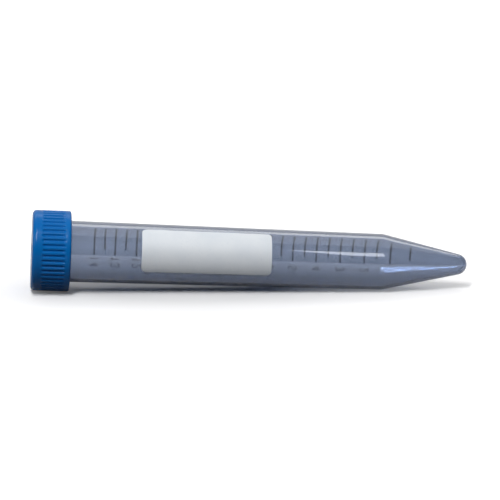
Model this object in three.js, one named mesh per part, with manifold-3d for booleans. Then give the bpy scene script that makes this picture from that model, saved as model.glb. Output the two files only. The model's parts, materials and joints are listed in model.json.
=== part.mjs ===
// A 15 ml conical tube with its screw cap, lying as it comes to rest on a bench.
// Millimetres, +Z up. The tube runs along X with its cap towards -X and its tip towards +X.
// It lies on the lower edge of the cap's skirt and on the shoulder where the cone starts.
// Each piece is first drawn about an upright axis: height 0 is the flat top of the cap, and the tip
// hangs at minus overall_length. The two are then laid down together.

import * as THREE from 'three';
import { mergeVertices } from 'three/addons/utils/BufferGeometryUtils.js';
import Module from 'manifold-3d';

// ---------------------------------------------------------------- driving dimensions

// whole object
const overall_length = 120; // top of the cap to the tip
const segments = 36; // facets around every round surface

// tube
const body_top_diameter = 16.8; // outside, just below the cap
const body_narrowing = 1.4; // how much smaller the body is across where the cone starts
const tube_wall = 0.9;
const cone_length = 23.5; // shoulder to tip
const tip_radius = 2.9; // outside rounding of the tip
const tip_arc_steps = 6;

// neck under the cap
const neck_setback = 0.45; // how far the neck stands in from the body
const neck_step = 0.8; // height of the slope from neck to body
const rim_chamfer = 0.3; // eased edges of the mouth
const thread_height = 0.9; // how far the ridge stands off the neck
const thread_pitch = 3.2;
const thread_turns = 1.3;
const thread_root_width = 1.5; // along the axis, at the neck
const thread_crest_width = 0.6;
const thread_start = 1.3; // rim to the middle of the first turn
const thread_start_angle = 288; // degrees; the stretch with two turns then faces the bench
const thread_run_out = 30; // degrees over which each end of the ridge fades in
const thread_sink = 0.15; // how far a faded end lies inside the surface of the neck
const thread_steps = 40; // sections along the ridge

// cap
const cap_height = 10.5;
const cap_top_thickness = 1.4;
const cap_wall = 1.35; // bore to the floor of the grooves
const skirt_overlap = 0.9; // how far the skirt reaches past the step of the neck
const cap_top_rounding = 1.1; // outer edge of the flat top
const cap_skirt_rounding = 0.6; // outer edge of the open end
const rounding_steps = 3;
const rim_band = 1.5; // smooth band at each end of the grip, measured along the axis
const rib_count = 48;
const rib_height = 0.45; // how deep the grooves of the grip are cut
const rib_land = 0.45; // share of the pitch that is rib
const rib_flank = 0.12; // share of the pitch that each sloping side takes
const cutter_reach = 1; // how far a groove's cutter stands out of the cap
const plug_depth = 2.6; // seal ring below the inside of the top
const plug_wall = 0.8;
const plug_lead = 0.4; // taper at the free end of the seal ring

// clearances
const seat_gap = 0.3; // rim of the tube to the inside of the cap's top
const plug_gap = 0.3; // seal ring to the mouth of the tube
const thread_gap = 0.35; // crest of the thread to the bore of the cap

// ---------------------------------------------------------------- worked out from them

const rim_height = -(cap_top_thickness + seat_gap);
const tip_height = -overall_length;
const shoulder_height = tip_height + cone_length;
const body_top_radius = body_top_diameter / 2;
const body_top_height = skirt_overlap - cap_height;
const shoulder_radius = (body_top_diameter - body_narrowing) / 2;
const neck_radius = body_top_radius - neck_setback;
const mouth_radius = neck_radius - tube_wall;
const crest_radius = neck_radius + thread_height;
const cap_bore_radius = Math.max(crest_radius, body_top_radius) + thread_gap;
const cap_radius = cap_bore_radius + cap_wall + rib_height;
const facet_half_angle = Math.PI / segments;
const flat_share = Math.cos(facet_half_angle); // middle of a facet against its corners

// ---------------------------------------------------------------- solids

const wasm = await Module();
wasm.setup();

function solidOf(geometry) {
  // A closed geometry as a solid that can be joined to another.
  const bare = geometry.clone();
  bare.deleteAttribute('normal');
  bare.deleteAttribute('uv');
  const merged = mergeVertices(bare, 1e-4);
  return new wasm.Manifold(new wasm.Mesh({
    numProp: 3,
    vertProperties: new Float32Array(merged.attributes.position.array),
    triVerts: new Uint32Array(merged.index.array),
  }));
}

function geometryOf(solid) {
  const mesh = solid.getMesh();
  const geometry = new THREE.BufferGeometry();
  geometry.setAttribute('position', new THREE.BufferAttribute(mesh.vertProperties, 3));
  geometry.setIndex(new THREE.BufferAttribute(mesh.triVerts, 1));
  geometry.computeVertexNormals();
  return geometry;
}

function turned(profile) {
  // The profile [radius, height] turned about the upright axis, with a facet facing each main direction.
  const points = profile.map(([radius, height]) => new THREE.Vector2(radius, height));
  const lathe = new THREE.LatheGeometry(points, segments, facet_half_angle);
  return lathe.rotateX(Math.PI / 2);
}

function arc(centre_radius, centre_height, radius, from, to, steps) {
  // Points on a circle in the profile plane, both ends included; radians from the outward direction.
  return Array.from({ length: steps + 1 }, (_, i) => {
    const angle = from + ((to - from) * i) / steps;
    return [centre_radius + radius * Math.cos(angle), centre_height + radius * Math.sin(angle)];
  });
}

// ---------------------------------------------------------------- tube

function coneHalfAngle() {
  // The cone leaves the shoulder's edge and meets the round tip tangentially.
  const run = cone_length - tip_radius;
  const reach = Math.hypot(shoulder_radius, run);
  return Math.acos(tip_radius / reach) - Math.atan2(run, shoulder_radius);
}

function tubeProfile() {
  // Outside from the tip up to the mouth, then inside back down; the wall is the same all the way.
  const half_angle = coneHalfAngle();
  const tip_centre = tip_height + tip_radius;
  const bore_radius = tip_radius - tube_wall;
  const draft = (body_top_radius - shoulder_radius) / (body_top_height - shoulder_height);
  const inner_shoulder_radius = shoulder_radius - tube_wall;
  const inner_shoulder_height = shoulder_height + tube_wall * Math.tan(half_angle / 2);
  const inner_top_radius = body_top_radius - tube_wall;
  const inner_step_height = body_top_height + draft * tube_wall;
  return [
    ...arc(0, tip_centre, tip_radius, -Math.PI / 2, -half_angle, tip_arc_steps),
    [shoulder_radius, shoulder_height],
    [body_top_radius, body_top_height],
    [neck_radius, body_top_height + neck_step],
    [neck_radius, rim_height - rim_chamfer],
    [neck_radius - rim_chamfer, rim_height],
    [mouth_radius + rim_chamfer, rim_height],
    [mouth_radius, rim_height - rim_chamfer],
    [mouth_radius, inner_step_height + neck_step],
    [inner_top_radius, inner_step_height],
    [inner_shoulder_radius, inner_shoulder_height],
    ...arc(0, tip_centre, bore_radius, -half_angle, -Math.PI / 2, tip_arc_steps),
  ];
}

function threadRidge() {
  // A ridge of trapezoid section along a right-hand helix on the neck. It rises out of the neck at one end
  // and sinks back into it at the other.
  const root = neck_radius - tube_wall / 2;
  const faded = neck_radius - thread_sink;
  const corners = 4;
  const position = [];
  const index = [];
  for (let i = 0; i <= thread_steps; i += 1) {
    const turn = (thread_turns * i) / thread_steps;
    const angle = THREE.MathUtils.degToRad(thread_start_angle - 360 * turn);
    const from_end = 360 * Math.min(turn, thread_turns - turn);
    const rise = Math.min(1, from_end / thread_run_out);
    const crest = faded + (crest_radius - faded) * rise;
    const middle = rim_height - thread_start - thread_pitch * turn;
    const section = [
      [root, thread_root_width / 2],
      [crest, thread_crest_width / 2],
      [crest, -thread_crest_width / 2],
      [root, -thread_root_width / 2],
    ];
    section.forEach(([radius, offset]) => {
      position.push(radius * Math.cos(angle), radius * Math.sin(angle), middle + offset);
    });
  }
  for (let i = 0; i < thread_steps; i += 1) {
    for (let j = 0; j < corners; j += 1) {
      const a = i * corners + j;
      const b = i * corners + ((j + 1) % corners);
      index.push(a, a + corners, b);
      index.push(b, a + corners, b + corners);
    }
  }
  const last = thread_steps * corners;
  index.push(0, 1, 2, 0, 2, 3);
  index.push(last, last + 2, last + 1, last, last + 3, last + 2);
  const geometry = new THREE.BufferGeometry();
  geometry.setAttribute('position', new THREE.Float32BufferAttribute(position, 3));
  geometry.setIndex(index);
  return geometry;
}

function makeTube() {
  const shell = solidOf(turned(tubeProfile()));
  const ridge = solidOf(threadRidge());
  const material = new THREE.MeshStandardMaterial({
    color: 0xa9b3c0,
    roughness: 0.3,
    metalness: 0,
    transparent: true,
    opacity: 0.45,
  });
  const mesh = new THREE.Mesh(geometryOf(shell.add(ridge)), material);
  mesh.name = 'tube';
  return mesh;
}

// ---------------------------------------------------------------- screw cap

function capProfile() {
  // Outside from the middle of the flat top down to the open end, then inside up to the underside of the top.
  const plug_outer = mouth_radius - plug_gap;
  const plug_inner = plug_outer - plug_wall;
  const ceiling = -cap_top_thickness;
  const top_centre = cap_radius - cap_top_rounding;
  const skirt_centre = cap_radius - cap_skirt_rounding;
  return [
    [0, ceiling],
    [plug_inner, ceiling],
    [plug_inner, ceiling - plug_depth],
    [plug_outer - plug_lead, ceiling - plug_depth],
    [plug_outer, ceiling - plug_depth + plug_lead],
    [plug_outer, ceiling],
    [cap_bore_radius, ceiling],
    [cap_bore_radius, -cap_height],
    ...arc(
      skirt_centre, cap_skirt_rounding - cap_height, cap_skirt_rounding, -Math.PI / 2, 0, rounding_steps,
    ),
    ...arc(top_centre, -cap_top_rounding, cap_top_rounding, 0, Math.PI / 2, rounding_steps),
    [0, 0],
  ];
}

function gripGrooves() {
  // The straight grooves between the ribs, as one ring of cutters that the cap is cut by.
  // A groove is given in shares of the pitch: its floor, and its mouth at the radius of the lands.
  const pitch = (Math.PI * 2) / rib_count;
  const floor_radius = cap_radius - rib_height;
  const mouth_half = (1 - rib_land) / 2;
  const floor_half = mouth_half - rib_flank;
  const place = (share, radius) => [radius * Math.cos(share * pitch), radius * Math.sin(share * pitch)];
  const shape = new THREE.Shape();
  shape.moveTo(...place(-floor_half, floor_radius));
  shape.lineTo(...place(-mouth_half, cap_radius));
  shape.lineTo(...place(-mouth_half, cap_radius + cutter_reach));
  shape.lineTo(...place(mouth_half, cap_radius + cutter_reach));
  shape.lineTo(...place(mouth_half, cap_radius));
  shape.lineTo(...place(floor_half, floor_radius));
  shape.closePath();
  const depth = cap_height - cap_top_rounding - 2 * rim_band;
  const cutter = new THREE.ExtrudeGeometry(shape, { depth, bevelEnabled: false, steps: 1 });
  cutter.translate(0, 0, rim_band - cap_height);
  const cutters = Array.from({ length: rib_count }, (_, i) => cutter.clone().rotateZ((i + 0.5) * pitch));
  return wasm.Manifold.union(cutters.map(solidOf));
}

function makeScrewCap() {
  const shell = solidOf(turned(capProfile()));
  const material = new THREE.MeshStandardMaterial({ color: 0x1c5f9e, roughness: 0.35, metalness: 0 });
  const mesh = new THREE.Mesh(geometryOf(shell.subtract(gripGrooves())), material);
  mesh.name = 'screw_cap';
  return mesh;
}

// ---------------------------------------------------------------- laid down

function restTilt() {
  // The slope of the axis when the skirt's edge and the shoulder both touch the bench.
  const skirt_reach = cap_height - cap_skirt_rounding;
  const shoulder_reach = -shoulder_height;
  const drop = (cap_radius - shoulder_radius) * flat_share;
  return Math.atan2(drop, shoulder_reach - skirt_reach);
}

const upright = new THREE.Group();
upright.add(makeTube(), makeScrewCap());
upright.rotation.y = -Math.PI / 2 + restTilt(); // the cap's top turns from +Z to -X

const group = new THREE.Group();
group.add(upright);
group.updateMatrixWorld(true);
const box = new THREE.Box3().setFromObject(group, true);
upright.position.set(-(box.min.x + box.max.x) / 2, -(box.min.y + box.max.y) / 2, -box.min.z);
group.updateMatrixWorld(true);

export default group;
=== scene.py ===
import json
import math

import bpy
import numpy as np
from mathutils import Matrix, Vector


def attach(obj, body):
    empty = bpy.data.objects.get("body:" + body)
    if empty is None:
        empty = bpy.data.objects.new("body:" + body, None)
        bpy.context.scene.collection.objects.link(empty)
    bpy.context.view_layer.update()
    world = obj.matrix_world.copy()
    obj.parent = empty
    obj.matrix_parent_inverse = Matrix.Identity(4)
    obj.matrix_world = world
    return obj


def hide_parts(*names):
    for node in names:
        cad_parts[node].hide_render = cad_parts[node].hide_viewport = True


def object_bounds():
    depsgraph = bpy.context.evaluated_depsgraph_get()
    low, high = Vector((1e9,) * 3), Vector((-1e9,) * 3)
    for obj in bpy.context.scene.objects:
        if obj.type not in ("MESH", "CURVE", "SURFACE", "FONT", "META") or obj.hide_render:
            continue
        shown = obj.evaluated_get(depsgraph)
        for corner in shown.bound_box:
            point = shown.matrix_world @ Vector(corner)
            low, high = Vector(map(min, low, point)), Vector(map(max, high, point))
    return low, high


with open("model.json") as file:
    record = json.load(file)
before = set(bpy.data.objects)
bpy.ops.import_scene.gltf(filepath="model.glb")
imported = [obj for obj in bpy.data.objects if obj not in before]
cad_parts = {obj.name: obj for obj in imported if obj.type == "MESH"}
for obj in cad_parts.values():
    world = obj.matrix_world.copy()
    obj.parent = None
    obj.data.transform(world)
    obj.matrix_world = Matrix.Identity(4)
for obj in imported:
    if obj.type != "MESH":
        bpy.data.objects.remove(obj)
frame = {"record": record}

cad_low, cad_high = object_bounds()

# ------------------------------------------------------------------ camera
# A long lens a little above the bench. It stands a few degrees to the cap's side of the tube, so the tip
# points slightly away, and the view is rolled by a little less than one degree.

view_elevation = math.radians(12)
view_azimuth = math.radians(5)
view_roll = math.radians(0.85)
view_distance = 0.80
view_lens = 210

lying_middle = (cad_low + cad_high) / 2
camera_data = bpy.data.cameras.new("view")
camera_data.lens = view_lens
camera_data.clip_end = 50
camera = bpy.data.objects.new("view", camera_data)
bpy.context.scene.collection.objects.link(camera)
bpy.context.scene.camera = camera
towards_camera = Vector((
    -math.sin(view_azimuth) * math.cos(view_elevation),
    -math.cos(view_azimuth) * math.cos(view_elevation),
    math.sin(view_elevation),
))
looking = (-towards_camera).to_track_quat("-Z", "Y").to_matrix().to_4x4()
roll = Matrix.Rotation(view_roll, 4, "Z")
camera.matrix_world = Matrix.Translation(lying_middle + towards_camera * view_distance) @ looking @ roll

# ------------------------------------------------------------------ the tube
# The tube is one shot of clear polypropylene, injection moulded: a threaded neck, a body with a slight
# draft, a cone and a round tip, all with one wall thickness. Mouth and shoulder are softly rounded.

# The closed tube lies on the edge of its cap's skirt and on the shoulder above the cone, so its axis
# runs a little downhill to the tip. Every piece is drawn along that axis in millimetres: "reach" is the
# distance from the flat top of the cap, and "angle" goes from straight up round to the viewer's side.

millimetre = 0.001

cap_top_face = next(mount for mount in frame["record"]["mounts"] if mount["name"] == "cap_top")
axis_start = np.array(cap_top_face["pos_m"], dtype=float)
to_tip = -np.array(cap_top_face["axis"], dtype=float)
to_front = np.array((0.0, -1.0, 0.0))
to_top = np.cross(to_front, to_tip)


def around_axis(reach, radius, angle):
    """Places in metres: along the axis by the reach, and out from it by the radius in the direction that
    is cos(angle) to the top plus sin(angle) to the front. Arrays of one shape give a place for each."""
    reach, radius, angle = np.broadcast_arrays(reach, radius, angle)
    out = np.cos(angle)[..., None] * to_top + np.sin(angle)[..., None] * to_front
    return axis_start + millimetre * (reach[..., None] * to_tip + radius[..., None] * out)


overall_length = 120.0
cap_height = 10.5
cap_top_thickness = 1.4
seat_gap = 0.3
skirt_overlap = 0.9
body_top_radius = 8.4
shoulder_radius = 7.7
cone_length = 23.5
tip_radius = 2.9
tube_wall = 0.9
neck_setback = 0.45
neck_step = 0.8
lip_rounding = 0.32
neck_rounding = 0.5
shoulder_rounding = 6.0
tip_arc_points = 14
tube_columns = 240
arc_error = 0.003
arc_fewest_parts = 3

rim_reach = cap_top_thickness + seat_gap
body_top_reach = cap_height - skirt_overlap
shoulder_reach = overall_length - cone_length
tip_centre_reach = overall_length - tip_radius
neck_radius = body_top_radius - neck_setback
mouth_radius = neck_radius - tube_wall
cone_run = cone_length - tip_radius
cone_half_angle = (
    math.acos(tip_radius / math.hypot(shoulder_radius, cone_run)) - math.atan2(cone_run, shoulder_radius)
)


def arc_between(before, corner, after, rounding):
    """The arc that rounds a corner: tangent to the two sides, and swept from the first to the second by
    adding the two radii with weights sin((1 - s) t) / sin(t) and sin(s t) / sin(t). It has as many points
    as keep each chord within arc_error of it, from r (1 - cos(part / 2))."""
    side_in = (before - corner) / np.linalg.norm(before - corner)
    side_out = (after - corner) / np.linalg.norm(after - corner)
    half = math.acos(np.clip(side_in @ side_out, -1, 1)) / 2
    middle = (side_in + side_out) / np.linalg.norm(side_in + side_out)
    centre = corner + middle * rounding / math.sin(half)
    first = corner + side_in * rounding / math.tan(half) - centre
    last = corner + side_out * rounding / math.tan(half) - centre
    turn = math.pi - 2 * half
    part = 2 * math.acos(1 - arc_error / rounding)
    share = np.linspace(0, 1, max(arc_fewest_parts, math.ceil(turn / part)) + 1)[:, None]
    return centre + (np.sin((1 - share) * turn) * first + np.sin(share * turn) * last) / math.sin(turn)


def rounded_line(corners):
    """Points on a line through corners of (radius, reach, rounding, step). A corner with a rounding
    becomes an arc, and the straight that leads to a corner is divided into parts no longer than step."""
    places = [np.array(corner[:2], dtype=float) for corner in corners]
    runs = []
    for i, (_, _, rounding, step) in enumerate(corners):
        bend = places[i][None]
        if rounding:
            bend = arc_between(places[i - 1], places[i], places[i + 1], rounding)
        if runs:
            start, gap = runs[-1][-1], bend[0] - runs[-1][-1]
            parts = max(1, math.ceil(np.linalg.norm(gap) / step))
            share = np.linspace(0, 1, parts + 1)[1:-1]
            runs.append(start + share[:, None] * gap)
        runs.append(bend)
    return np.concatenate(runs)


def tip_arc(radius):
    """The round end of the tube in the profile: from the axis to where the cone touches it."""
    angle = np.linspace(0, math.pi / 2 - cone_half_angle, tip_arc_points)
    return np.stack((radius * np.sin(angle), tip_centre_reach + radius * np.cos(angle)), axis=1)


def smooth_step(x):
    """0 below 0, 1 above 1, and an even S between: x squared times (3 - 2 x)."""
    x = np.clip(x, 0, 1)
    return x * x * (3 - 2 * x)


def make_piece(name, points, face_groups):
    """A smooth-shaded mesh object from places and from arrays of faces with 3 or 4 corners each. The
    faces are turned round if they enclose a negative volume, so that they point outwards."""
    points = np.asarray(points).reshape(-1, 3)
    triangles = np.concatenate([
        faces[:, [0, i, i + 1]] for faces in face_groups for i in range(1, faces.shape[1] - 1)
    ])
    a, b, c = (points[triangles[:, i]] for i in range(3))
    if np.einsum("ij,ij->", a, np.cross(b, c)) < 0:
        face_groups = [faces[:, ::-1] for faces in face_groups]
    sizes = np.concatenate([np.full(len(faces), faces.shape[1]) for faces in face_groups])
    corners = np.concatenate([faces.ravel() for faces in face_groups])
    starts = np.cumsum(sizes) - sizes
    mesh = bpy.data.meshes.new(name)
    mesh.vertices.add(len(points))
    mesh.vertices.foreach_set("co", points.ravel())
    mesh.loops.add(len(corners))
    mesh.loops.foreach_set("vertex_index", corners.astype(np.int32))
    mesh.polygons.add(len(sizes))
    mesh.polygons.foreach_set("loop_start", starts.astype(np.int32))
    mesh.polygons.foreach_set("use_smooth", np.ones(len(sizes), dtype=bool))
    mesh.update(calc_edges=True)
    mesh.validate()
    piece = bpy.data.objects.new(name, mesh)
    bpy.context.scene.collection.objects.link(piece)
    return piece


def turned_piece(name, reach, radius, angle):
    """A closed skin turned about the axis. Rows follow the profile from the axis back to the axis, and
    columns go round; radius holds a value for each, so that threads and ribs stand off the profile."""
    rows, columns = radius.shape
    rings = around_axis(reach[1:-1, None], radius[1:-1], angle[None, :])
    poles = around_axis(reach[[0, -1]], np.zeros(2), np.zeros(2))
    points = np.concatenate((rings.reshape(-1, 3), poles))
    index = np.arange((rows - 2) * columns).reshape(rows - 2, columns)
    after = np.roll(index, -1, axis=1)
    quads = np.stack((index[:-1], after[:-1], after[1:], index[1:]), axis=-1).reshape(-1, 4)
    first_pole = np.full(columns, len(points) - 2)
    last_pole = np.full(columns, len(points) - 1)
    first_fan = np.stack((first_pole, after[0], index[0]), axis=1)
    last_fan = np.stack((last_pole, index[-1], after[-1]), axis=1)
    return make_piece(name, points, [quads, first_fan, last_fan])


radius_tolerance = 0.01
thread_height = 0.9
thread_pitch = 3.2
thread_turns = 1.3
thread_start = 1.3
thread_start_angle = math.radians(72)
thread_run_out = math.radians(30)
ridge_root_half = 0.78
ridge_crest_half = 0.26


def thread_ridge(reach, angle, first_reach, first_angle, turns):
    """How far a right-hand thread stands out at each place, from 0 to 1: the reach of its middle grows by
    the pitch in each turn, its flanks are S-shaped, and it fades in and out at its two ends."""
    height = np.zeros(np.broadcast(reach, angle).shape)
    full_turn = 2 * math.pi
    for turn in range(math.ceil(turns) + 1):
        from_start = (angle - first_angle) % full_turn + full_turn * turn
        to_end = full_turn * turns - from_start
        middle = first_reach + thread_pitch * from_start / full_turn
        flank = (ridge_root_half - np.abs(reach - middle)) / (ridge_root_half - ridge_crest_half)
        ends = smooth_step(from_start / thread_run_out) * smooth_step(to_end / thread_run_out)
        height = np.maximum(height, smooth_step(flank) * ends)
    return height


def make_tube():
    """The profile runs from the tip up the outside, over the rim and down the bore, and is turned about
    the axis. On the neck the radius grows by the thread's height times its ridge. Returns the piece and
    the profile, as rows of radius and reach."""
    inner_shoulder_reach = shoulder_reach - tube_wall * math.tan(cone_half_angle / 2)
    outer_tip, inner_tip = tip_arc(tip_radius), tip_arc(tip_radius - tube_wall)[::-1]
    sides = rounded_line([
        (*outer_tip[-1], 0, 1),
        (shoulder_radius, shoulder_reach, shoulder_rounding, 1.5),
        (body_top_radius, body_top_reach, neck_rounding, 2.0),
        (neck_radius, body_top_reach - neck_step, neck_rounding, 0.2),
        (neck_radius, rim_reach, lip_rounding, 0.12),
        (mouth_radius, rim_reach, lip_rounding, 0.2),
        (mouth_radius, body_top_reach - neck_step, neck_rounding, 0.6),
        (body_top_radius - tube_wall, body_top_reach, neck_rounding, 0.3),
        (shoulder_radius - tube_wall, inner_shoulder_reach, shoulder_rounding, 2.0),
        (*inner_tip[0], 0, 1.5),
    ])
    profile = np.concatenate((outer_tip[:-1], sides, inner_tip[1:]))
    radius, reach = profile[:, 0], profile[:, 1]
    angle = np.linspace(0, 2 * math.pi, tube_columns, endpoint=False)
    on_neck = (np.abs(radius - neck_radius) < radius_tolerance) & (reach < body_top_reach)
    first_reach = rim_reach + thread_start
    ridge = thread_ridge(reach[:, None], angle[None, :], first_reach, thread_start_angle, thread_turns)
    threaded_radius = radius[:, None] + thread_height * ridge * on_neck[:, None]
    return turned_piece("moulded_tube", reach, threaded_radius, angle), profile


def node_group(name, inputs, outputs):
    """An empty shader node group with sockets given as (name, kind, default) and (name, kind)."""
    group = bpy.data.node_groups.new(name, "ShaderNodeTree")
    for label, kind, default in inputs:
        socket = group.interface.new_socket(label, in_out="INPUT", socket_type=kind)
        socket.default_value = default
    for label, kind in outputs:
        group.interface.new_socket(label, in_out="OUTPUT", socket_type=kind)
    return group, group.nodes.new("NodeGroupInput"), group.nodes.new("NodeGroupOutput")


def add_node(tree, kind, links=(), **settings):
    """A node in the tree with its settings. Links give an input its value or the socket that feeds it."""
    node = tree.nodes.new(kind)
    for label, value in settings.items():
        setattr(node, label, value)
    for label, value in dict(links).items():
        if isinstance(value, bpy.types.NodeSocket):
            tree.links.new(value, node.inputs[label])
        else:
            node.inputs[label].default_value = value
    return node


def new_material(name):
    """A material whose tree holds one Principled BSDF and its output. Returns the material, the tree and
    the Principled BSDF."""
    material = bpy.data.materials.new(name)
    material.use_nodes = True
    tree = material.node_tree
    tree.nodes.clear()
    shader = tree.nodes.new("ShaderNodeBsdfPrincipled")
    output = tree.nodes.new("ShaderNodeOutputMaterial")
    tree.links.new(shader.outputs["BSDF"], output.inputs["Surface"])
    return material, tree, shader


def moulded_skin_group():
    """The skin of a moulding: fine cloud bump from the tool's steel, long faint flow lines along the
    axis, and a roughness that drifts between a low and a high value."""
    group, given, result = node_group(
        "moulded_skin",
        [
            ("Smoothest", "NodeSocketFloat", 0.1),
            ("Roughest", "NodeSocketFloat", 0.2),
            ("Grain", "NodeSocketFloat", 900.0),
            ("Depth", "NodeSocketFloat", 0.00001),
        ],
        [("Roughness", "NodeSocketFloat"), ("Drift", "NodeSocketFloat"), ("Normal", "NodeSocketVector")],
    )
    place = add_node(group, "ShaderNodeTexCoord").outputs["Object"]
    drawn_out = add_node(group, "ShaderNodeMapping", {"Vector": place, "Scale": (0.12, 1.0, 1.0)})
    flow = add_node(
        group, "ShaderNodeTexNoise", {"Vector": drawn_out.outputs[0], "Scale": 420.0, "Detail": 3.0},
    )
    clouds = add_node(group, "ShaderNodeTexNoise", {"Vector": place, "Scale": 60.0, "Detail": 2.0})
    grain = add_node(
        group, "ShaderNodeTexNoise", {"Vector": place, "Scale": given.outputs["Grain"], "Detail": 2.0},
    )
    drift = add_node(
        group, "ShaderNodeMath", {0: flow.outputs["Fac"], 1: clouds.outputs["Fac"]}, operation="MULTIPLY",
    )
    height = add_node(
        group, "ShaderNodeMath", {0: flow.outputs["Fac"], 1: grain.outputs["Fac"]}, operation="ADD",
    )
    bump = add_node(
        group, "ShaderNodeBump",
        {"Height": height.outputs[0], "Distance": given.outputs["Depth"], "Strength": 1.0},
    )
    rough = add_node(
        group, "ShaderNodeMapRange",
        {
            "Value": clouds.outputs["Fac"], "From Min": 0.35, "From Max": 0.65,
            "To Min": given.outputs["Smoothest"], "To Max": given.outputs["Roughest"],
        },
    )
    group.links.new(rough.outputs[0], result.inputs["Roughness"])
    group.links.new(drift.outputs[0], result.inputs["Drift"])
    group.links.new(bump.outputs[0], result.inputs["Normal"])
    return group


moulded_skin = moulded_skin_group()


def mixed_colour(tree, share, first, second):
    """The colour socket of a mix from the first to the second, by a share from 0 to 1. Each of the two is
    a colour or a colour socket."""
    mix = tree.nodes.new("ShaderNodeMix")
    mix.data_type = "RGBA"
    tree.links.new(share, mix.inputs["Factor"])
    colour_inputs = [socket for socket in mix.inputs if socket.type == "RGBA"]
    for socket, colour in zip(colour_inputs, (first, second)):
        if isinstance(colour, bpy.types.NodeSocket):
            tree.links.new(colour, socket)
        else:
            socket.default_value = colour
    return next(socket for socket in mix.outputs if socket.type == "RGBA")


def moulded_plastic(name, tones, skin_values):
    """A plastic whose two tones drift into each other, with the skin of a moulding. Returns what
    new_material does."""
    material, tree, shader = new_material(name)
    skin = add_node(tree, "ShaderNodeGroup", node_tree=moulded_skin)
    for label, value in skin_values.items():
        skin.inputs[label].default_value = value
    tree.links.new(mixed_colour(tree, skin.outputs["Drift"], *tones), shader.inputs["Base Color"])
    tree.links.new(skin.outputs["Roughness"], shader.inputs["Roughness"])
    tree.links.new(skin.outputs["Normal"], shader.inputs["Normal"])
    return material, tree, shader


def clear_polypropylene():
    """Natural polypropylene: see-through, faintly milky and grey-blue, with a glossy skin."""
    material, tree, shader = moulded_plastic(
        "clear_polypropylene",
        tones=((0.78, 0.81, 0.85, 1), (0.84, 0.86, 0.88, 1)),
        skin_values={"Smoothest": 0.02, "Roughest": 0.05, "Grain": 700.0, "Depth": 0.000002},
    )
    shader.inputs["IOR"].default_value = 1.49
    shader.inputs["Transmission Weight"].default_value = 0.92
    shader.inputs["Coat Weight"].default_value = 1.0
    shader.inputs["Coat IOR"].default_value = 1.55
    shader.inputs["Coat Roughness"].default_value = 0.03
    absorption = add_node(
        tree, "ShaderNodeVolumeAbsorption", {"Color": (0.36, 0.46, 0.62, 1), "Density": 1350.0},
    )
    tree.links.new(absorption.outputs[0], tree.nodes["Material Output"].inputs["Volume"])
    return material


tube_piece, tube_profile = make_tube()
tube_piece.data.materials.append(clear_polypropylene())
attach(tube_piece, "tube_body")
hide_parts("tube")

# ------------------------------------------------------------------ the white patch
# A field of white ink to write on, pad-printed on the body nearer to the cap than to the cone. The pad
# leaves the ink a little thin and mottled, with round corners.

ink_lift = 0.012
ink_thickness = 0.03
patch_angle = math.radians(70)
patch_half_width = math.radians(45.5) * body_top_radius
patch_start = 29.7
patch_length = 35.4
patch_corner = 1.4
patch_corner_rows = 9
patch_middle_rows = 24
patch_columns = 61
cone_end_radius, cone_end_reach = tube_profile[tip_arc_points - 1]


def wall_radius(reach):
    """The outside radius of the tube at each reach: two straight slopes, the body's and the cone's."""
    return np.interp(
        reach,
        (body_top_reach, shoulder_reach, cone_end_reach),
        (body_top_radius, shoulder_radius, cone_end_radius),
    )


def ink_films(name, reach, angle):
    """Films of ink on the wall. Each is a grid of [film, row, column], given by the reach and the angle of
    its points. The film's face and underside are that grid at two heights, and its edges are closed."""
    underside = wall_radius(reach) + ink_lift
    points = [around_axis(reach, radius, angle) for radius in (underside + ink_thickness, underside)]
    index = np.arange(reach.size).reshape(reach.shape)
    quad_corners = (index[:, :-1, :-1], index[:, :-1, 1:], index[:, 1:, 1:], index[:, 1:, :-1])
    face = np.stack(quad_corners, axis=-1).reshape(-1, 4)
    rim_sides = (index[:, 0], index[:, 1:, -1], index[:, -1, -2::-1], index[:, -2:0:-1, 0])
    rim = np.concatenate(rim_sides, axis=1)
    after = np.roll(rim, -1, axis=1)
    edges = np.stack((after, rim, rim + reach.size, after + reach.size), axis=-1).reshape(-1, 4)
    return make_piece(name, np.concatenate(points), [face, face[:, ::-1] + reach.size, edges])


def white_patch():
    """A rectangle wrapped on the body. Near its two ends each row is shorter on both sides by
    c - sqrt(c^2 - (c - d)^2), where c is the corner rounding and d the distance to the end."""
    round_end = patch_corner * (1 - np.cos(np.linspace(0, math.pi / 2, patch_corner_rows)))
    middle = np.linspace(patch_corner, patch_length - patch_corner, patch_middle_rows)[1:-1]
    along = np.concatenate((round_end, middle, patch_length - round_end[::-1]))
    to_end = np.minimum(along, patch_length - along)
    inset = patch_corner - np.sqrt(patch_corner ** 2 - np.clip(patch_corner - to_end, 0, None) ** 2)
    across = np.linspace(-1, 1, patch_columns)[None, :] * (patch_half_width - inset)[:, None]
    reach = np.broadcast_to((patch_start + along)[:, None], across.shape)
    return ink_films("white_patch", reach[None], (patch_angle + across / body_top_radius)[None])


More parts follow.
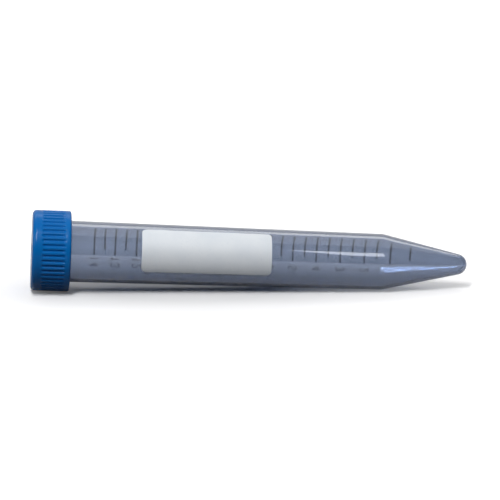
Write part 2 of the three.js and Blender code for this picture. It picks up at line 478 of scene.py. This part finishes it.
def ink_film_group():
    """How pad-printed ink covers: pinholes and broad clouds in its tone, and a slightly rough face."""
    group, given, result = node_group(
        "ink_film",
        [
            ("Full", "NodeSocketColor", (0.8, 0.8, 0.8, 1)),
            ("Thin", "NodeSocketColor", (0.6, 0.6, 0.6, 1)),
            ("Pinholes", "NodeSocketFloat", 0.3),
        ],
        [("Color", "NodeSocketColor"), ("Roughness", "NodeSocketFloat"), ("Normal", "NodeSocketVector")],
    )
    place = add_node(group, "ShaderNodeTexCoord").outputs["Object"]
    clouds = add_node(group, "ShaderNodeTexNoise", {"Vector": place, "Scale": 160.0, "Detail": 3.0})
    dots = add_node(group, "ShaderNodeTexNoise", {"Vector": place, "Scale": 2600.0, "Detail": 1.0})
    pinhole = add_node(
        group, "ShaderNodeMapRange",
        {
            "Value": dots.outputs["Fac"], "From Min": 0.60, "From Max": 0.72,
            "To Max": given.outputs["Pinholes"],
        },
    )
    cloudy = add_node(
        group, "ShaderNodeMapRange",
        {"Value": clouds.outputs["Fac"], "From Min": 0.4, "From Max": 0.75, "To Max": 0.4},
    )
    thin = add_node(
        group, "ShaderNodeMath", {0: pinhole.outputs[0], 1: cloudy.outputs[0]}, operation="MAXIMUM",
    )
    colour = mixed_colour(group, thin.outputs[0], given.outputs["Full"], given.outputs["Thin"])
    rough = add_node(
        group, "ShaderNodeMapRange", {"Value": clouds.outputs["Fac"], "To Min": 0.34, "To Max": 0.58},
    )
    bump = add_node(
        group, "ShaderNodeBump",
        {"Height": dots.outputs["Fac"], "Distance": 0.000004, "Strength": 1.0},
    )
    group.links.new(colour, result.inputs["Color"])
    group.links.new(rough.outputs[0], result.inputs["Roughness"])
    group.links.new(bump.outputs[0], result.inputs["Normal"])
    return group


ink_film = ink_film_group()


def printing_ink(name, full, thin, pinholes):
    """An ink as its full colour, the colour where its film is thin, and how strongly pinholes thin it."""
    material, tree, shader = new_material(name)
    film = add_node(tree, "ShaderNodeGroup", node_tree=ink_film)
    film.inputs["Full"].default_value = full
    film.inputs["Thin"].default_value = thin
    film.inputs["Pinholes"].default_value = pinholes
    tree.links.new(film.outputs["Color"], shader.inputs["Base Color"])
    tree.links.new(film.outputs["Roughness"], shader.inputs["Roughness"])
    tree.links.new(film.outputs["Normal"], shader.inputs["Normal"])
    return material


white_ink = printing_ink(
    "white_ink", full=(0.74, 0.78, 0.82, 1), thin=(0.60, 0.66, 0.73, 1), pinholes=0.5,
)
patch_piece = white_patch()
patch_piece.data.materials.append(white_ink)
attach(patch_piece, "tube_body")

# ------------------------------------------------------------------ the graduations
# Dark lines of ink across the side away from the patch, one for each half millilitre that the bore holds
# from the tip up, with a longer line and a number at each whole one. They are printed as the patch is.

first_mark_ml = 0.5
last_mark_ml = 14.0
mark_step_ml = 0.5
line_width = 0.5
line_left = math.radians(320.5)
short_line_right = math.radians(263.5)
long_line_right = math.radians(252.5)
line_stations = 33
number_middle = math.radians(238)
number_height = 2.4
number_stroke = 0.36
number_spacing = 0.28
digit_width = 0.56
digit_head = 0.96
digit_foot = 0.04
stroke_stations = 13
cubic_mm_in_ml = 1000


def bore_volume(profile):
    """The millilitres that the tube holds below each reach of its bore: the slices between the points of
    the profile, added up from the tip, each a cone's slice of pi h (a^2 + a b + b^2) / 3."""
    inside = profile[np.argmin(profile[:, 1]) :]
    bore = inside[inside[:, 1] > body_top_reach - neck_step][::-1]
    radius, reach = bore.T
    below, above = radius[:-1], radius[1:]
    slices = math.pi / 3 * (above ** 2 + above * below + below ** 2) * -np.diff(reach)
    return reach, np.concatenate(([0], np.cumsum(slices))) / cubic_mm_in_ml


def mark_reaches():
    """The volume of each mark, and the reach at which the bore has held that much."""
    volumes = np.arange(first_mark_ml, last_mark_ml + mark_step_ml / 2, mark_step_ml)
    reach, held = bore_volume(tube_profile)
    return volumes, np.interp(volumes, held, reach)


def graduation_lines():
    """One film for each mark: straight across the tube, from line_left to the right end for its length."""
    volumes, reach = mark_reaches()
    right = np.where(volumes % 1 == 0, long_line_right, short_line_right)
    angle = line_left + (right - line_left)[:, None] * np.linspace(0, 1, line_stations)[None, :]
    reach = reach[:, None, None] + line_width * np.array((-0.5, 0.5))[None, None, :]
    angle, reach = np.broadcast_arrays(angle[:, :, None], reach)
    return ink_films("graduation_lines", reach, angle)


def straight(start, end):
    """A straight stroke between two points of a digit, which is 1 high."""
    share = np.linspace(0, 1, stroke_stations)[:, None]
    return np.array(start) * (1 - share) + np.array(end) * share


def bow(x, y, half_width, half_height, from_degrees, to_degrees):
    """A stroke along an ellipse about (x, y): its point is the middle plus (w cos t, h sin t)."""
    t = np.radians(np.linspace(from_degrees, to_degrees, stroke_stations))
    return np.stack((x + half_width * np.cos(t), y + half_height * np.sin(t)), axis=1)


digit_strokes = {
    "0": [bow(0.28, 0.5, 0.23, 0.46, 90, 270), bow(0.28, 0.5, 0.23, 0.46, -90, 90)],
    "1": [
        straight((0.08, 0.76), (0.30, digit_head)),
        straight((0.30, digit_head), (0.30, digit_foot)),
    ],
    "2": [
        bow(0.28, 0.70, 0.22, 0.26, 165, -35),
        straight((0.46, 0.55), (0.06, digit_foot)),
        straight((0.06, digit_foot), (0.52, digit_foot)),
    ],
    "3": [bow(0.25, 0.73, 0.21, 0.23, 150, -90), bow(0.25, 0.27, 0.25, 0.23, 90, -150)],
    "4": [
        straight((0.40, digit_foot), (0.40, digit_head)),
        straight((0.40, digit_head), (0.04, 0.30)),
        straight((0.04, 0.30), (0.54, 0.30)),
    ],
    "5": [
        straight((0.50, digit_head), (0.13, digit_head)),
        straight((0.13, digit_head), (0.09, 0.52)),
        bow(0.26, 0.32, 0.25, 0.28, 132, -145),
    ],
    "6": [
        bow(0.28, 0.29, 0.23, 0.25, 0, 180),
        bow(0.28, 0.29, 0.23, 0.25, 180, 360),
        bow(0.57, 0.34, 0.52, 0.62, 105, 178),
    ],
    "7": [
        straight((0.05, digit_head), (0.52, digit_head)),
        straight((0.52, digit_head), (0.20, digit_foot)),
    ],
    "8": [
        bow(0.28, 0.73, 0.20, 0.22, 0, 180),
        bow(0.28, 0.73, 0.20, 0.22, 180, 360),
        bow(0.28, 0.27, 0.24, 0.23, 0, 180),
        bow(0.28, 0.27, 0.24, 0.23, 180, 360),
    ],
    "9": [
        bow(0.28, 0.71, 0.23, 0.25, 0, 180),
        bow(0.28, 0.71, 0.23, 0.25, 180, 360),
        bow(-0.01, 0.66, 0.52, 0.62, -75, -2),
    ],
}


def number_strokes(number, middle_reach):
    """The strokes of a number that reads with the cap up, as [stroke, station, edge] reach and angle. The
    digits are centred on the mark. Each path has an edge half a stroke's width to either side of it,
    square to its direction."""
    digits = str(number)
    advance = digit_width + number_spacing
    start = -(len(digits) * advance - number_spacing) / 2
    paths = number_height * np.array([
        stroke + (start + place * advance, -0.5)
        for place, digit in enumerate(digits)
        for stroke in digit_strokes[digit]
    ])
    direction = np.gradient(paths, axis=1)
    direction /= np.linalg.norm(direction, axis=2, keepdims=True)
    square = np.stack((-direction[..., 1], direction[..., 0]), axis=-1) * number_stroke / 2
    edges = np.stack((paths - square, paths + square), axis=2)
    radius = wall_radius(middle_reach)
    return middle_reach - edges[..., 1], number_middle - edges[..., 0] / radius


def graduation_numbers():
    """One film for each stroke of the numbers, which stand at the whole marks."""
    volumes, reach = mark_reaches()
    whole = volumes % 1 == 0
    strokes = [number_strokes(int(ml), middle) for ml, middle in zip(volumes[whole], reach[whole])]
    stroke_reach, stroke_angle = (np.concatenate(part) for part in zip(*strokes))
    return ink_films("graduation_numbers", stroke_reach, stroke_angle)


dark_ink = printing_ink(
    "dark_ink", full=(0.035, 0.042, 0.06, 1), thin=(0.10, 0.11, 0.14, 1), pinholes=0.6,
)
for marks in (graduation_lines(), graduation_numbers()):
    marks.data.materials.append(dark_ink)
    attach(marks, "tube_body")

# ------------------------------------------------------------------ the screw cap
# The cap is one shot of blue polyethylene, injection moulded, and screws onto the neck: a flat top, a
# ribbed skirt with a thread inside, and a thin plug ring that seals in the mouth. The mould's gate leaves
# a small round mark in the middle of the top.

cap_radius = 11.0
cap_bore = 9.2
cap_top_rounding = 1.1
cap_skirt_rounding = 0.6
cap_bore_rounding = 0.25
cap_root_rounding = 0.3
gate_dimple_radius = 1.9
gate_dimple_depth = 0.14
gate_dimple_slope = 0.1
gate_dimple_rounding = 0.08
gate_nib_radius = 0.5
gate_nib_depth = 0.03
gate_nib_slope = 0.05
gate_nib_rounding = 0.04
rim_band = 1.5
rib_count = 48
rib_depth = 0.36
rib_half_land = 0.25
rib_flank = 0.32
rib_start = cap_top_rounding + rim_band
rib_end = cap_height - rim_band
rib_fade = 0.5
rib_columns = np.array((0.12, 0.26, 0.34, 0.42, 0.50, 0.60))
plug_outer = 6.75
plug_inner = 5.95
plug_end = cap_top_thickness + 2.6
plug_lead = 0.4
plug_lead_height = 0.5
plug_lead_rounding = 0.3
plug_root_rounding = 0.2
plug_end_rounding = 0.1
cap_thread_height = 1.0


def make_cap():
    """The profile turned about the axis. In the rib band each column lies lower by the rib depth times an
    S-curve of its distance from the nearest rib, and in the bore the thread stands inwards. The columns
    keep the distances of rib_columns to both sides of each rib's middle."""
    profile = rounded_line([
        (0.0, gate_nib_depth, 0, 1),
        (gate_nib_radius, gate_nib_depth, gate_nib_rounding, 0.3),
        (gate_nib_radius + gate_nib_slope, gate_dimple_depth, gate_nib_rounding, 0.3),
        (gate_dimple_radius - gate_dimple_slope, gate_dimple_depth, gate_dimple_rounding, 0.5),
        (gate_dimple_radius, 0.0, gate_dimple_rounding, 0.5),
        (cap_radius, 0.0, cap_top_rounding, 1.8),
        (cap_radius, cap_height, cap_skirt_rounding, 0.26),
        (cap_bore, cap_height, cap_bore_rounding, 0.3),
        (cap_bore, cap_top_thickness, cap_root_rounding, 0.26),
        (plug_outer, cap_top_thickness, plug_root_rounding, 0.9),
        (plug_outer, plug_end - plug_lead_height, plug_lead_rounding, 0.7),
        (plug_outer - plug_lead, plug_end, plug_end_rounding, 0.3),
        (plug_inner, plug_end, plug_end_rounding, 0.3),
        (plug_inner, cap_top_thickness, cap_root_rounding, 0.7),
        (0.0, cap_top_thickness, 0, 2.0),
    ])
    radius, reach = profile[:, 0], profile[:, 1]
    rib_pitch = 2 * math.pi / rib_count
    columns = np.concatenate((-rib_columns[::-1], rib_columns)) / cap_radius
    angle = (np.arange(rib_count)[:, None] * rib_pitch + columns[None, :]).ravel()
    from_rib = np.abs((angle + rib_pitch / 2) % rib_pitch - rib_pitch / 2) * cap_radius
    groove = smooth_step((from_rib - rib_half_land) / rib_flank)
    band = smooth_step((reach - rib_start) / rib_fade) * smooth_step((rib_end - reach) / rib_fade)
    band = band * (radius > cap_radius - radius_tolerance)
    in_skirt = (reach > cap_top_thickness) & (reach < cap_height)
    in_bore = in_skirt & (np.abs(radius - cap_bore) < radius_tolerance)
    first_reach = rim_reach + thread_start + thread_pitch / 2
    ridge = thread_ridge(reach[:, None], angle[None, :], first_reach, thread_start_angle, thread_turns)
    ribbed_radius = radius[:, None] - rib_depth * band[:, None] * groove[None, :]
    threaded_radius = ribbed_radius - cap_thread_height * in_bore[:, None] * ridge
    return turned_piece("moulded_cap", reach, threaded_radius, angle)


def blue_polyethylene():
    """Deep blue opaque polyethylene, a little waxy, with faint lighter flow marks from the gate."""
    material, _, shader = moulded_plastic(
        "blue_polyethylene",
        tones=((0.0, 0.12, 0.41, 1), (0.0, 0.16, 0.48, 1)),
        skin_values={"Smoothest": 0.18, "Roughest": 0.25, "Grain": 1500.0, "Depth": 0.000012},
    )
    shader.inputs["IOR"].default_value = 1.45
    shader.inputs["Specular IOR Level"].default_value = 0.15
    return material


cap_piece = make_cap()
cap_piece.data.materials.append(blue_polyethylene())
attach(cap_piece, "cap_body")
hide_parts("screw_cap")

# ------------------------------------------------------------------ bench and light
# The tube lies on a white laminate bench that sweeps up behind into a white wall. Both show as plain
# white by a painted glow. The glow is left out close to the tube, so there the bench is darker by painted
# shade as well as by the tube's shadow.

sweep_front = -1.2
sweep_back = 0.9
sweep_radius = 0.6
sweep_half_width = 2.2
sweep_height = 1.6
sweep_rows = 17
glow_shift = 0.010
glow_squeeze = 0.62
glow_start = 0.014
glow_end = 0.065
glow_far = 0.6
glow_beside = 0.5
glow_full = 0.9
bench_in_gloss = 0.6
room_in_gloss = 0.3
room_strength = 0.06


def bench_sweep():
    """A flat bench that turns up in a quarter circle and goes on as a wall."""
    turn = np.linspace(0, math.pi / 2, sweep_rows)
    wall = sweep_back + sweep_radius
    y = np.concatenate(([sweep_front], sweep_back + sweep_radius * np.sin(turn), [wall]))
    z = np.concatenate(([0.0], sweep_radius * (1 - np.cos(turn)), [sweep_height]))
    x = np.array((-sweep_half_width, sweep_half_width))
    grid = np.stack(np.broadcast_arrays(x[None, :], y[:, None], z[:, None]), axis=-1)
    index = np.arange(y.size * x.size).reshape(y.size, x.size)
    faces = np.stack((index[:-1, 0], index[:-1, 1], index[1:, 1], index[1:, 0]), axis=1)
    mesh = bpy.data.meshes.new("bench")
    mesh.from_pydata(grid.reshape(-1, 3).tolist(), [], faces.tolist())
    bench = bpy.data.objects.new("bench", mesh)
    bpy.context.scene.collection.objects.link(bench)
    return bench


def seen_directly(tree, in_gloss):
    """How much of the background's white a ray shows: 1 from the camera and through the tube, and the
    given share in gloss."""
    path = add_node(tree, "ShaderNodeLightPath")
    gloss = add_node(
        tree, "ShaderNodeMath", {0: path.outputs["Is Glossy Ray"], 1: in_gloss}, operation="MULTIPLY",
    )
    either = add_node(
        tree, "ShaderNodeMath",
        {0: path.outputs["Is Camera Ray"], 1: gloss.outputs[0]}, operation="MAXIMUM",
    )
    seen = add_node(
        tree, "ShaderNodeMath",
        {0: either.outputs[0], 1: path.outputs["Is Transmission Ray"]}, operation="MAXIMUM",
    )
    return seen.outputs[0]


def bench_white():
    """White laminate with a painted glow. Where it is seen directly it glows by the length of (squeeze x +
    shift, y, z): not at all up to glow_start, by glow_beside at glow_end, and by glow_full from glow_far
    on.
    The ground without glow close to the tube is painted shade round it. The squeeze stretches that painted
    shade along the tube, and the shift moves it towards the cap, so that the painted glow lightens the
    shadow beside the tip. To other rays the laminate is dark and doesn't glow, so that little light comes
    back up at the tube."""
    material, tree, shader = new_material("bench_white")
    seen = seen_directly(tree, bench_in_gloss)
    colour = mixed_colour(tree, seen, (0.10, 0.10, 0.11, 1), (0.86, 0.86, 0.87, 1))
    place = add_node(tree, "ShaderNodeTexCoord").outputs["Object"]
    drawn_in = add_node(
        tree, "ShaderNodeMapping",
        {
            "Vector": place, "Location": (glow_shift, 0.0, 0.0),
            "Scale": (glow_squeeze, 1.0, 1.0),
        },
    )
    away = add_node(tree, "ShaderNodeVectorMath", {0: drawn_in.outputs[0]}, operation="LENGTH")
    beside = add_node(
        tree, "ShaderNodeMapRange",
        {
            "Value": away.outputs["Value"], "From Min": glow_start, "From Max": glow_end,
            "To Max": glow_beside,
        },
    )
    far = add_node(
        tree, "ShaderNodeMapRange",
        {
            "Value": away.outputs["Value"], "From Min": glow_end, "From Max": glow_far,
            "To Max": glow_full - glow_beside,
        },
    )
    glow = add_node(tree, "ShaderNodeMath", {0: beside.outputs[0], 1: far.outputs[0]}, operation="ADD")
    # Painted light: the bench glows where it is seen, and the glow is left out close to the tube as
    # painted shade round it.
    lift = add_node(tree, "ShaderNodeMath", {0: seen, 1: glow.outputs[0]}, operation="MULTIPLY")
    tree.links.new(colour, shader.inputs["Base Color"])
    tree.links.new(lift.outputs[0], shader.inputs["Emission Strength"])
    shader.inputs["Emission Color"].default_value = (1, 1, 1, 1)
    shader.inputs["Roughness"].default_value = 0.9
    shader.inputs["Specular IOR Level"].default_value = 0.0
    return material


def room_light():
    """A dim even light from all round, which shows as white where it is seen directly."""
    world = bpy.data.worlds.new("room")
    world.use_nodes = True
    tree = world.node_tree
    tree.nodes.clear()
    background = add_node(tree, "ShaderNodeBackground")
    shown = add_node(
        tree, "ShaderNodeMath",
        {0: seen_directly(tree, room_in_gloss), 1: room_strength}, operation="MAXIMUM",
    )
    tree.links.new(shown.outputs[0], background.inputs["Strength"])
    output = add_node(tree, "ShaderNodeOutputWorld")
    tree.links.new(background.outputs[0], output.inputs["Surface"])
    bpy.context.scene.world = world


def soft_lamp(name, place, size, brightness):
    """A rectangular lamp that faces the tube. Its power is pi times its area times its brightness."""
    lamp = bpy.data.lights.new(name, "AREA")
    lamp.shape = "RECTANGLE"
    lamp.size, lamp.size_y = size
    lamp.energy = math.pi * size[0] * size[1] * brightness
    lamp_object = bpy.data.objects.new(name, lamp)
    bpy.context.scene.collection.objects.link(lamp_object)
    aim = (Vector(lying_middle) - Vector(place)).to_track_quat("-Z", "Y")
    lamp_object.matrix_world = Matrix.Translation(place) @ aim.to_matrix().to_4x4()


bench = bench_sweep()
bench.data.materials.append(bench_white())
room_light()

# The key is a tall narrow box in front, towards the cap. It lights the cap and the patch, and gives the
# short streak on the cone. A small strip in front, towards the tip, gives the bright line along the body.
# The broad panels fill from overhead, from the front, from beyond the cap and from behind.
for name, place, size, brightness in (
    ("overhead_panel", (0.0, 0.16, 0.72), (1.0, 0.8), 0.55),
    ("key_box", (-0.145, -0.42, 0.60), (0.08, 0.40), 40.0),
    ("front_panel", (0.0, -0.62, 0.50), (0.9, 0.4), 0.12),
    ("right_strip", (0.172, -0.56, 0.47), (0.08, 0.17), 3.5),
    ("left_panel", (-0.70, -0.15, 0.35), (0.3, 0.4), 2.5),
    ("back_panel", (0.0, 0.50, 0.62), (0.9, 0.22), 1.6),
):
    soft_lamp(name, place, size, brightness)

bpy.context.scene.view_settings.view_transform = "Standard"
